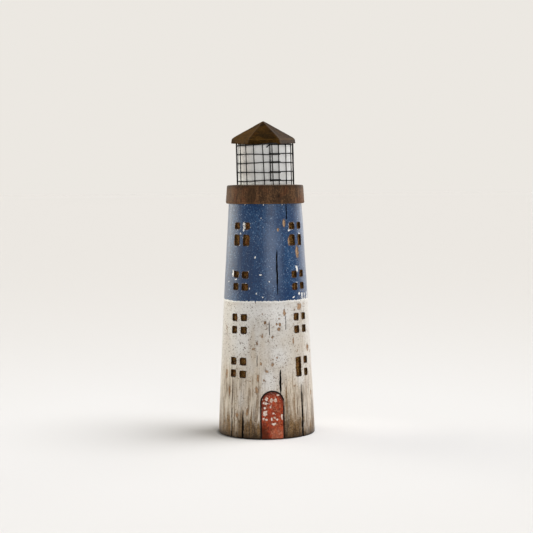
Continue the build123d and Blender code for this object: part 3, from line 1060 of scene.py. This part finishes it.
    def crack_marks(self, cracks, heights, homes, offsets):
        """How far each point lies inside a crack, from 0 at its edge to 1 in its middle."""
        split = np.zeros((len(heights), len(homes)))
        for home, offset, crack in cracks:
            lines = np.flatnonzero(homes == home)
            low, high = crack["low"] * MM, crack["high"] * MM
            widest = low if low < 0 else (low + high) / 2
            taper = np.clip((high - heights) / (high - widest), 0, 1)
            if low >= 0:
                taper = np.minimum(taper, np.clip((heights - low) / (widest - low), 0, 1))
            along = np.stack([np.full(heights.shape, home * MM), np.zeros(heights.shape), heights], axis=-1)
            ragged = 1 + 0.5 * wander(along, 7 * MM, 2.2) + 0.3 * wander(along, 2.5 * MM, 6.8)
            half = crack["width"] * MM / 2 * np.sqrt(taper) * ragged + 1e-9
            open_share = fade(np.abs(offsets[:, lines] - offset), half)
            split[:, lines] = np.maximum(split[:, lines], open_share * np.minimum(1, taper * 4))
        return split


def turned_rings(profile, count, uneven):
    """Rings of a turned piece from a profile of radius and height, with an uneven surface."""
    bearings = np.linspace(-math.pi, math.pi, count, endpoint=False)[None, :]
    radii = np.array([point[0] for point in profile])[:, None]
    heights = np.array([point[1] for point in profile])[:, None]
    even = place(bearings, radii, heights)
    grain = 0.6 * wander(even * (1, 1, 0.08), 2.2 * MM, 9.1) + wander(even, 14 * MM, 2.6)
    shape = np.minimum(1, radii / (20 * MM))
    return place(bearings, radii + uneven * shape * grain, heights)


def arc_profile(centre, radius, start, end, steps):
    """Points on a round edge, from one angle to another in degrees."""
    angles = np.radians(np.linspace(start, end, steps))
    return [(centre[0] + radius * math.cos(a), centre[1] + radius * math.sin(a)) for a in angles]


class LIGHTHOUSE_OT_gallery(bpy.types.Operator):
    """Build the stained gallery disc"""

    bl_idname = "lighthouse.gallery"
    bl_label = "Gallery"

    proud = 0.05 * MM
    bottom_round = 1.8 * MM
    top_round = 1.3 * MM
    deck_dip = 0.45 * MM
    level_deck = 31 * MM
    spill_radius = 34.5 * MM

    def execute(self, context):
        settings = context.scene.lighthouse.wood
        low, high = GALLERY_LOW.z, GALLERY_HIGH.z
        brim = high - self.deck_dip
        bottom = GALLERY_HIGH.x + self.proud
        top = bottom - settings.gallery_taper
        flat_bottom, flat_top = bottom - self.bottom_round, top - self.top_round
        bore = LOWER_DOWEL_HIGH.x + BORE_FIT
        profile = [(r, low) for r in fill([bore, flat_bottom], 4 * MM)]
        profile += arc_profile((flat_bottom, low + self.bottom_round), self.bottom_round, -75, -5, 6)
        sides = fill([low + self.bottom_round, brim - self.top_round], 1.2 * MM)[1:-1]
        profile += [(bottom + (top - bottom) * (z - low) / (high - low), z) for z in sides]
        profile += arc_profile((flat_top, brim - self.top_round), self.top_round, 5, 85, 6)
        deck = fill([bore, flat_top], 2.5 * MM)[::-1]
        profile += [(r, high - self.deck_dip * float(smooth(r, self.level_deck, flat_top))) for r in deck]
        profile += [(bore, high + (low - high) * share) for share in (0.33, 0.67)]
        piece = skin("gallery", turned_rings(profile, 240, 0.11 * MM), loop=True, sharp=50)

        # Rubbed lower edge, painted shade along the top under the lantern, dark marks, and paint spilled on
        # the deck
        points = np.array([vertex.co for vertex in piece.data.vertices])
        reach, levels = np.hypot(points[:, 0], points[:, 1]), points[:, 2]
        inset = 0.3 * self.bottom_round
        from_edge = np.hypot(reach - (bottom - inset), levels - (low + inset))
        carry(piece, "worn", fade(from_edge, 2.2 * MM))
        # Painted shade: darker towards the top under the lantern, a little on the deck; the marks are dark
        # wood
        painted_top_shade = fade(brim - levels, 5.5 * MM) ** 1.3
        shade = painted_top_shade * np.where(reach > top - 1.2 * MM, 0.9, 0.3)
        bearings = np.arctan2(points[:, 0], -points[:, 1])
        for *mark, amount in GALLERY_MARKS:
            near = spot_field(bearings, reach, levels - low, [mark])
            shade = np.maximum(shade, amount * smooth(near, 0.0, 0.7))
        carry(piece, "shade", shade)
        on_deck = levels > brim - 0.1 * MM
        carry(piece, "spilled", np.clip((self.spill_radius - reach) / (4 * MM), 0, 1) * on_deck)
        finish = stained_wood(
            "stained_gallery",
            settings.stain,
            settings.pale_stain,
            stretch=(1, 1, 0.12),
            grain=0.8,
            worn_share=0.3,
            gloss=0.06,
        )
        settle(piece, finish, "stained_wood", "gallery_disc")
        return {"FINISHED"}


class LIGHTHOUSE_OT_core(bpy.types.Operator):
    """Build the white lantern core with its sockets"""

    bl_idname = "lighthouse.core"
    bl_label = "Lantern core"

    edge = 0.5 * MM

    def execute(self, context):
        settings = context.scene.lighthouse.lantern
        low, high, radius = CORE_LOW.z, CORE_HIGH.z, CORE_HIGH.x
        lower_bore, upper_bore = LOWER_DOWEL_HIGH.x + BORE_FIT, UPPER_DOWEL_HIGH.x + BORE_FIT
        lower_seat, upper_seat = LOWER_DOWEL_HIGH.z + SEAT_AIR, UPPER_DOWEL_LOW.z - SEAT_AIR
        profile = [(lower_bore, lower_seat), (lower_bore, low)]
        profile += [(r, low) for r in fill([lower_bore, radius - self.edge], 7 * MM)[1:]]
        profile += [(radius, z) for z in fill([low + self.edge, high - self.edge], 1.5 * MM)]
        profile += [(r, high) for r in fill([upper_bore, radius - self.edge], 7 * MM)[::-1]]
        profile += [(upper_bore, upper_seat)]
        rings = turned_rings(profile, 144, 0.06 * MM)
        piece = skin("lantern_core_painted", rings, (0, 0, lower_seat), (0, 0, upper_seat))
        settle(piece, painted_core(settings), "painted_core", "lantern_core")
        return {"FINISHED"}


class LIGHTHOUSE_OT_roof(bpy.types.Operator):
    """Build the six-sided roof with its fascia"""

    bl_idname = "lighthouse.roof"
    bl_label = "Roof"

    sides = 6
    side_points = 26
    corner_power = 90
    front_round = 1.5 * MM
    flare = 0.6 * MM
    proud = 0.2 * MM
    soft_shoulder = ((0.5, -0.7), (0.8, -0.15), (1.35, 0.35), (2.1, 0.9))
    tip_drop = 0.3 * MM

    def execute(self, context):
        settings = context.scene.lighthouse.wood
        centre = (ROOF_LOW.x + ROOF_HIGH.x) / 2
        base, tip = ROOF_LOW.z, ROOF_HIGH.z
        corner, shoulder = settings.roof_corner, base + settings.roof_fascia

        # Bearings are closer together at the hips, where the outline is rounded
        half_turn = math.pi / self.sides
        steps = np.linspace(-math.pi / 2, math.pi / 2, self.side_points, endpoint=False)
        within = np.tile(np.sin(steps) * half_turn, self.sides)
        faces = settings.roof_turn + 2 * half_turn * np.arange(self.sides)
        normals = np.repeat(faces, self.side_points)
        bearings = normals + within
        leaning = np.maximum(np.cos(bearings[:, None] - faces[None, :]), 0) ** self.corner_power
        outline = math.cos(half_turn) / leaning.sum(axis=1) ** (1 / self.corner_power)
        underside = [(corner * share, base) for share in (0.5, 0.75, 0.9)]
        underside.append((corner + self.proud - 0.95 * MM, base))
        profile = underside + self.top_profile(base, shoulder, tip, corner)
        reach, level = np.array(profile).T[..., None]
        rings = place(bearings[None, :], reach * outline[None, :], level)

        # Round front shoulder, uneven surface, and the hang of the front half
        sideways = np.array((1, 1, 0))
        front_side = (np.cos(normals) > 0.9) * (1 - (within / half_turn) ** 4)
        low_edge = base + 1.5 * MM
        high_up = np.clip((level - low_edge) / (shoulder - low_edge), 0, 1)
        eased = np.where(level > shoulder, fade(level - shoulder, 4 * MM), high_up**2)
        drawn_in = self.front_round * eased * front_side[None, :] / np.maximum(reach, MM)
        rings = rings * (1 - drawn_in[..., None] * sideways)
        uneven = waver(rings, (0.16, 9, 4.4), (0.06, 2.5, 6.1))
        pushed_out = uneven * np.minimum(1, reach / (8 * MM)) / np.maximum(reach, MM)
        rings = rings * (1 + pushed_out[..., None] * sideways)
        rings[..., 2] += np.where(level > shoulder + 0.5 * MM, uneven * 0.6, 0)
        hanging = np.maximum(-rings[..., 1], 0) * math.tan(settings.roof_hang)
        hanging[: len(underside)] = 0
        rings[..., 2] -= hanging
        rings[..., 0] += centre
        seat = UPPER_DOWEL_HIGH.z + SEAT_AIR
        socket = socket_rings(bearings, UPPER_DOWEL_HIGH.x + BORE_FIT, base, seat)[::-1]
        poles = ((0, 0, seat), (centre, 0, tip - self.tip_drop))
        piece = skin("roof", np.concatenate([socket, rings]), *poles, sharp=60)

        # Rubbed hips and shoulders, painted light and a painted sheen on the sides, and painted shade on the
        # front and back
        from_hip = (half_turn - np.abs(within))[None, :] * reach
        on_hip = fade(from_hip, 1.3 * MM) * (level > base + 1 * MM)
        on_shoulder = fade(np.hypot(reach - corner + 0.6 * MM, level - shoulder), 2.0 * MM)
        facing = np.sin(normals)[None, :]
        left, right = facing < -0.5, facing > 0.5
        # Painted light: the left slopes paler, and the right shoulders paler than the others, over the
        # rubbed hips and shoulders
        worn = np.maximum(on_hip, np.where(right, 1.3, 1.0) * on_shoulder)
        worn = np.maximum(worn, np.where(left, 0.72, 0.0))
        lowest = np.clip((tip - level) / (tip - base), 0, 1) ** 2
        # Painted sheen: greyer on the right slopes, more towards the eave, and on the hips, most on the
        # right half
        faded = np.where(right, 0.3 + 0.4 * lowest, np.where(left, 0.06, 0.0))
        faded = np.maximum(faded, np.where(np.sin(bearings)[None, :] > 0, 1.0, 0.3) * on_hip)
        # Painted shade: the front and back slopes darker
        shade = np.where(left | right, 0.0, 0.1) * np.ones(reach.shape)
        for name, values in {"worn": worn, "faded": faded, "shade": shade}.items():
            carry(piece, name, values, len(socket) * len(bearings))
        finish = stained_wood(
            "stained_roof",
            settings.roof_stain,
            settings.pale_roof,
            stretch=(0.6, 1, 0.6),
            grain=0.4,
            worn_share=0.7,
            gloss=0.01,
        )
        settle(piece, finish, "stained_wood", "roof_cap")
        return {"FINISHED"}

    def top_profile(self, base, shoulder, tip, corner):
        """Fascia, rounded shoulder, slope and tip at a corner, as points of reach and level."""
        edge = corner + self.proud
        points = [(edge - 0.8 * MM, base), (edge - 0.25 * MM, base + 0.2 * MM), (edge, base + 0.8 * MM)]
        for level in fill([base + 1.5 * MM, shoulder - 1.4 * MM], 0.8 * MM):
            points.append((edge - self.flare * (level - base) / (shoulder - base), level))
        points += [(corner - inset * MM, shoulder + rise * MM) for inset, rise in self.soft_shoulder]
        slope = (tip - shoulder) / corner
        reaches = fill([1.2 * MM, corner - 2.8 * MM], 1.6 * MM)[::-1]
        points += [(reach, shoulder + (corner - reach) * slope) for reach in reaches]
        return points + [(0.6 * MM, tip - 0.45 * MM)]


def tube(name, path, radii, sides=10):
    """Wire along a path of points, with a radius at each point and flat cut ends."""
    tangents = np.gradient(path, axis=0)
    tangents /= np.linalg.norm(tangents, axis=1)[:, None]
    normal = np.cross(tangents[0], (0.31, 0.17, 0.94) if abs(tangents[0][2]) < 0.8 else (0.94, 0.31, 0.17))
    angles = np.linspace(0, 2 * math.pi, sides, endpoint=False)[:, None]
    rings = []
    for point, tangent, radius in zip(path, tangents, radii):
        normal = normal - tangent * normal.dot(tangent)
        normal = normal / np.linalg.norm(normal)
        side = np.cross(tangent, normal)
        rings.append(point + radius * (np.cos(angles) * normal + np.sin(angles) * side))
    return skin(name, np.array(rings), path[0], path[-1], sharp=70)


class LIGHTHOUSE_OT_cage(bpy.types.Operator):
    """Build the wires of the mesh cage, welded at their crossings"""

    bl_idname = "lighthouse.cage"
    bl_label = "Wire cage"

    core_gap = 0.8 * MM
    weld_gap = 0.03 * MM
    weld_swell = 0.16
    weld_reach = 0.7 * MM
    shift = 0.6 * MM
    lean = math.tan(math.radians(1.0))
    seam = math.radians(3.3)
    lap = math.radians(5.1)
    hoop_start = math.radians(1.6)
    hoop_tail = math.radians(14.6)
    rise_turn = math.radians(100.0)
    tail_lift = 1.0 * MM
    hook = math.radians(7.0)
    hook_drop = 2.6 * MM
    short_foot = 3.3 * MM
    skewed = {17: 0.5 * MM, 18: 0.9 * MM, 19: 1.3 * MM, 20: 0.5 * MM}
    bent_aside = {20: math.radians(-1.5)}

    def execute(self, context):
        settings = context.scene.lighthouse.lantern
        self.wire = settings.wire
        self.low, self.high = GALLERY_HIGH.z, ROOF_LOW.z
        self.hang = math.tan(context.scene.lighthouse.wood.roof_hang)
        self.hoop_radius = CORE_HIGH.x + self.core_gap + self.wire / 2
        self.step = self.wire + self.weld_gap
        self.cells = len(UPRIGHT_NODES) - 1
        self.cell_turn = (2 * math.pi + self.lap) / self.cells
        boxes = [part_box(node) for node in HOOP_NODES]
        self.levels = [(low.z + high.z) / 2 - self.low for low, high in boxes]
        material = black_wire(settings)
        for number, node in enumerate(UPRIGHT_NODES):
            settle(self.upright(number), material, "black_wire", node)
        for number, node in enumerate(HOOP_NODES):
            settle(self.hoop(number), material, "black_wire", node)
        return {"FINISHED"}

    def thickness(self, to_weld):
        """Radius of the wire at distances from its nearest weld."""
        return self.wire / 2 * (1 + self.weld_swell * np.exp(-((to_weld / self.weld_reach) ** 2)))

    def strip_radius(self, bearings):
        """Distance of the hoops from the cage's axis at bearings along the strip."""
        lapped = self.hoop_radius + 2 * self.step
        start = self.seam + 2 * math.pi - self.rise_turn
        spread = 2 * (self.hoop_radius - lapped * math.cos(self.rise_turn))
        growth = (lapped**2 - self.hoop_radius**2) / spread
        past = np.maximum(bearings - start, 0)
        wide = self.hoop_radius + growth
        return np.sqrt(wide**2 - (growth * np.sin(past)) ** 2) - growth * np.cos(past)

    def leaned(self, bearings, radii, levels):
        """Points of the leaning cage at levels above the gallery, and how far its lean would lift each."""
        points = place(bearings, radii, self.low + levels)
        tilt = points[..., 0] * self.lean
        points[..., 0] += self.shift - levels * self.lean
        return points, tilt

    def upright(self, number):
        """One upright wire, which leans, sways and ends below the hanging roof."""
        bearing = self.seam + number * self.cell_turn + self.bent_aside.get(number, 0.0)
        foot = self.short_foot if number == 0 else 0.0
        top = self.high - self.low - max(0.0, math.cos(bearing)) * self.hoop_radius * self.hang
        levels = np.linspace(foot, top, 46)
        share = levels / top - 0.5
        bearings = bearing - self.skewed.get(number, 0.0) * share / self.hoop_radius
        points, _ = self.leaned(bearings, self.strip_radius(np.array([bearing]))[0] + self.step, levels)
        shifts = (1.7 * number, 1.7 * number + 50)
        sway = np.stack([wander(points, 13 * MM, shift) for shift in shifts], axis=-1)
        ends = np.minimum(1, np.minimum(levels - foot, levels[-1] - levels) / (6 * MM))[:, None]
        points[:, :2] += 0.14 * MM * sway * ends
        to_weld = np.min(np.abs(levels[:, None] - np.array(self.levels)[None, :]), axis=1)
        return tube(f"upright_wire_{number + 1:02d}", points, self.thickness(to_weld))

    def hoop(self, number):
        """One hoop, from the seam once round to its lapped tail. The top one starts with a hook."""
        last = self.seam + self.cells * self.cell_turn + self.hoop_tail
        bent = number == len(HOOP_NODES) - 1
        first = self.seam - (self.hook if bent else self.hoop_start)
        bearings = np.linspace(first, last, 300)
        level = self.levels[number]
        radii = self.strip_radius(bearings)
        points, tilt = self.leaned(bearings, radii, np.full(bearings.shape, level))
        points[:, 2] += tilt
        lifted = smooth(bearings, last - 1.1, last - 0.25)
        points[:, 2] += self.tail_lift * lifted * (-1 if number % 2 else 1)
        points[:, 2] += 0.22 * MM * wander(points, 11 * MM, 3.3 * number)
        if bent:
            points[:, 2] -= self.hook_drop * (1 - smooth(bearings, first, first + self.hook * 1.1))
        along = (bearings - self.seam) / self.cell_turn
        to_weld = np.abs(along - np.round(along)) * self.cell_turn * self.hoop_radius
        return tube(f"hoop_wire_{number + 1}", points, self.thickness(to_weld))


class LIGHTHOUSE_OT_dowels(bpy.types.Operator):
    """Finish the two glued pegs inside"""

    bl_idname = "lighthouse.dowels"
    bl_label = "Dowels"

    def execute(self, context):
        material = raw_dowel()
        for node in ("lower_dowel", "upper_dowel"):
            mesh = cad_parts[node].data
            mesh.materials.clear()
            mesh.materials.append(material)
        return {"FINISHED"}


class LIGHTHOUSE_OT_stage(bpy.types.Operator):
    """Set up the camera, the floor and the light"""

    bl_idname = "lighthouse.stage"
    bl_label = "Stage"

    floor_rings = (24.0, 10.0, 4.0, 1.5, 0.6, 0.2)
    floor_corners = 64
    foot_shadow = 4 * MM

    # Name, bearing, elevation, spread and colour of each soft light
    lights = (
        ("key_light", 85, 64, 38, (1.0, 1.0, 1.0)),
        ("left_light", -123, 4, 58, (1.0, 0.97, 0.84)),
        ("right_light", 127, 4, 46, (1.0, 1.0, 1.0)),
        ("front_light", 10, 8, 26, (1.0, 1.0, 1.0)),
    )

    def execute(self, context):
        settings = context.scene.lighthouse.stage
        context.scene.view_settings.view_transform = "Standard"
        self.camera(context, settings)
        self.floor(settings)
        self.world(context, settings)
        for name, bearing, elevation, spread, colour in self.lights:
            self.sun(name, getattr(settings, name), bearing, elevation, spread, colour)
        return {"FINISHED"}

    def camera(self, context, settings):
        """The camera of the photograph."""
        data = bpy.data.cameras.new("photo_camera")
        data.lens = settings.lens
        data.sensor_width = 36.0
        data.clip_end = 100.0
        camera = add_object("photo_camera", data)
        turn = settings.bearing
        back = Vector((math.sin(turn), -math.cos(turn), 0))
        right = Vector((math.cos(turn), math.sin(turn), 0))
        up = Vector((0, 0, 1))
        forward = -back * math.cos(settings.tilt) - up * math.sin(settings.tilt)
        level_up = right.cross(forward)
        camera_up = level_up * math.cos(settings.roll) + right * math.sin(settings.roll)
        camera_right = forward.cross(camera_up)
        camera.matrix_world = Matrix.Translation(
            back * settings.distance + right * settings.aside + up * settings.eye_height
        ) @ Matrix((camera_right, camera_up, -forward)).transposed().to_4x4()
        context.scene.camera = camera

    def floor(self, settings):
        """A pale floor, with painted light near the figurine and in a patch beside it, and a painted contact
        shadow where its foot touches it.
        """
        bearings = np.linspace(-math.pi, math.pi, self.floor_corners, endpoint=False)
        rings = np.stack([place(bearings, radius, 0.0) for radius in self.floor_rings])
        floor = skin("floor", rings, high_pole=(0, 0, 0))
        recipe = Recipe("pale_floor", Specular_IOR_Level=0.0, Roughness=1.0)
        across, deep = recipe.axis("X") * MM, recipe.axis("Y") * MM
        reach = (across * across + deep * deep).root()
        # Painted light: the floor is paler near the figurine
        away = (reach - 0.3) | 0.0
        nearness = recipe.node("ShaderNodeMath", {"operation": "EXPONENT"}, {0: away / -0.75})
        colour = recipe.blend(nearness, settings.far_floor, settings.near_floor)
        # Painted light: a paler patch on the floor to the right of the foot
        aside, before = across - 0.085, deep + 0.02
        lifted = recipe.ramp((aside * aside + before * before).root(), 0.12, 0.02) * 0.04
        # Painted shadow: darker where the foot touches the floor, on its left
        painted_contact_shadow = recipe.ramp(reach, TOWER_HIGH.x + self.foot_shadow, TOWER_HIGH.x)
        painted_contact_shadow = painted_contact_shadow * recipe.ramp(across, 0.035, -0.01) * 0.5
        dimmed = recipe.blend((lifted + settings.floor_share) * (1.0 - painted_contact_shadow), (0, 0, 0), colour)
        recipe.feed(recipe.shader.inputs["Base Color"], dimmed)
        floor.data.materials.append(recipe.material)

    def world(self, context, settings):
        """Light from all round, with the backdrop where the camera looks past the floor."""
        world = bpy.data.worlds.new("studio")
        world.use_nodes = True
        context.scene.world = world
        nodes = Nodes(world.node_tree)
        kinds = ("Camera", "Glossy", "Transmission")
        camera, gloss, glass = (nodes.node("ShaderNodeLightPath", output=f"Is {kind} Ray") for kind in kinds)
        seen = camera | gloss | glass
        background = nodes.tree.nodes["Background"]
        colours = {0: seen, 6: (1, 1, 1, 1), 7: linear(settings.backdrop)}
        colour = nodes.node("ShaderNodeMix", {"data_type": "RGBA"}, colours, 2)
        nodes.feed(background.inputs["Color"], colour)
        nodes.feed(background.inputs["Strength"], seen * (1 - settings.room_light) + settings.room_light)

    def sun(self, name, strength, bearing, elevation, spread, colour):
        """A soft light from a bearing and an elevation in degrees."""
        data = bpy.data.lights.new(name, "SUN")
        data.energy = strength
        data.color = colour
        data.angle = math.radians(spread)
        lamp = add_object(name, data)
        turn, rise = math.radians(bearing), math.radians(elevation)
        back = Vector((math.sin(turn) * math.cos(rise), -math.cos(turn) * math.cos(rise), math.sin(rise)))
        lamp.rotation_mode = "QUATERNION"
        lamp.rotation_quaternion = back.to_track_quat("Z", "Y")
        lamp.location = back * 2


class LIGHTHOUSE_PT_panel(bpy.types.Panel):
    """Settings and steps of the figurine"""

    bl_idname = "LIGHTHOUSE_PT_panel"
    bl_label = "Lighthouse"
    bl_space_type = "VIEW_3D"
    bl_region_type = "UI"
    bl_category = "Lighthouse"

    def draw(self, context):
        settings = context.scene.lighthouse
        for group in (settings.tower, settings.wood, settings.lantern, settings.stage):
            box = self.layout.box()
            for name in group.bl_rna.properties.keys():
                if name not in {"rna_type", "name"}:
                    box.prop(group, name)
        for operator in OPERATORS:
            self.layout.operator(operator.bl_idname)


OPERATORS = (
    LIGHTHOUSE_OT_stage,
    LIGHTHOUSE_OT_tower,
    LIGHTHOUSE_OT_gallery,
    LIGHTHOUSE_OT_core,
    LIGHTHOUSE_OT_cage,
    LIGHTHOUSE_OT_roof,
    LIGHTHOUSE_OT_dowels,
)
CLASSES = (
    TowerSettings,
    WoodSettings,
    LanternSettings,
    StageSettings,
    LighthouseSettings,
    *OPERATORS,
    LIGHTHOUSE_PT_panel,
)


def register():
    for kind in CLASSES:
        bpy.utils.register_class(kind)
    bpy.types.Scene.lighthouse = PointerProperty(type=LighthouseSettings)


def unregister():
    del bpy.types.Scene.lighthouse
    for kind in reversed(CLASSES):
        bpy.utils.unregister_class(kind)


def main():
    register()
    bpy.ops.lighthouse.stage()
    bpy.ops.lighthouse.tower()
    bpy.ops.lighthouse.gallery()
    bpy.ops.lighthouse.core()
    bpy.ops.lighthouse.cage()
    bpy.ops.lighthouse.roof()
    bpy.ops.lighthouse.dowels()


if __name__ == "__main__":
    main()
